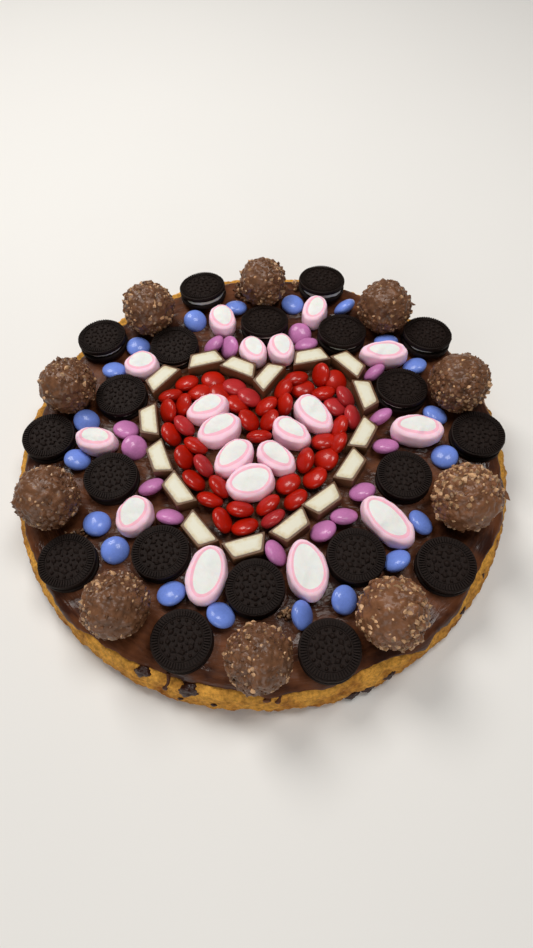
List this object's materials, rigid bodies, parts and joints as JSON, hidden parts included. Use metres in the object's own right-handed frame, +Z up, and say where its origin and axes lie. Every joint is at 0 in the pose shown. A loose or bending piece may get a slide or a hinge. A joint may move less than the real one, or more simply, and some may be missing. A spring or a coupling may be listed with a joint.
{
  "type": "cookie pizza",
  "caption": "Round thick baked cookie with chocolate spread on top, ringed by hazelnut pralines and sandwich biscuits, with a heart of red lens sweets inside chocolate bar slices.",
  "frame": {"origin": "middle of the flat foot of the cookie, on the surface it stands on", "axes": "+Z up, +X to the right and -Y to the front, where the heart's point looks"},
  "size_m": [0.2664, 0.2654, 0.0512],
  "materials": {
    "crust": "golden baked cookie crumb, matt and crumbly",
    "spread": "glossy chocolate spread, with red, blue and mauve sugar-shelled sweets and pink marshmallows pressed in",
    "praline": "milk chocolate over chopped hazelnuts",
    "biscuit": "near-black cocoa wafers with white cream between",
    "filled_bar": "milk chocolate shell round a cream filling",
    "marshmallow": "soft pink marshmallow with white cut faces"
  },
  "bodies": {
    "root": {"cookie_base": "crust", "chocolate_spread": "spread", "praline_01": "praline", "praline_02": "praline", "praline_03": "praline", "praline_04": "praline", "praline_05": "praline", "praline_06": "praline", "praline_07": "praline", "praline_08": "praline", "praline_09": "praline", "praline_10": "praline", "biscuit_outer_01": "biscuit", "biscuit_outer_02": "biscuit", "biscuit_outer_03": "biscuit", "biscuit_outer_04": "biscuit", "biscuit_outer_05": "biscuit", "biscuit_outer_06": "biscuit", "biscuit_outer_07": "biscuit", "biscuit_outer_08": "biscuit", "biscuit_outer_09": "biscuit", "biscuit_outer_10": "biscuit", "biscuit_inner_01": "biscuit", "biscuit_inner_02": "biscuit", "biscuit_inner_03": "biscuit", "biscuit_inner_04": "biscuit", "biscuit_inner_05": "biscuit", "biscuit_inner_06": "biscuit", "biscuit_inner_07": "biscuit", "biscuit_inner_08": "biscuit", "biscuit_inner_09": "biscuit", "biscuit_inner_10": "biscuit", "bar_slice_01": "filled_bar", "bar_slice_02": "filled_bar", "bar_slice_03": "filled_bar", "bar_slice_04": "filled_bar", "bar_slice_05": "filled_bar", "bar_slice_06": "filled_bar", "bar_slice_07": "filled_bar", "bar_slice_08": "filled_bar", "bar_slice_09": "filled_bar", "bar_slice_10": "filled_bar", "bar_slice_11": "filled_bar", "bar_slice_12": "filled_bar", "bar_slice_13": "filled_bar", "bar_slice_14": "filled_bar", "bar_slice_15": "filled_bar", "bar_slice_16": "filled_bar", "marshmallow_01": "marshmallow", "marshmallow_02": "marshmallow", "marshmallow_03": "marshmallow", "marshmallow_04": "marshmallow", "marshmallow_05": "marshmallow", "marshmallow_06": "marshmallow", "marshmallow_07": "marshmallow", "marshmallow_08": "marshmallow", "marshmallow_09": "marshmallow", "marshmallow_10": "marshmallow", "marshmallow_11": "marshmallow", "marshmallow_12": "marshmallow"}
  },
  "joints": []
}
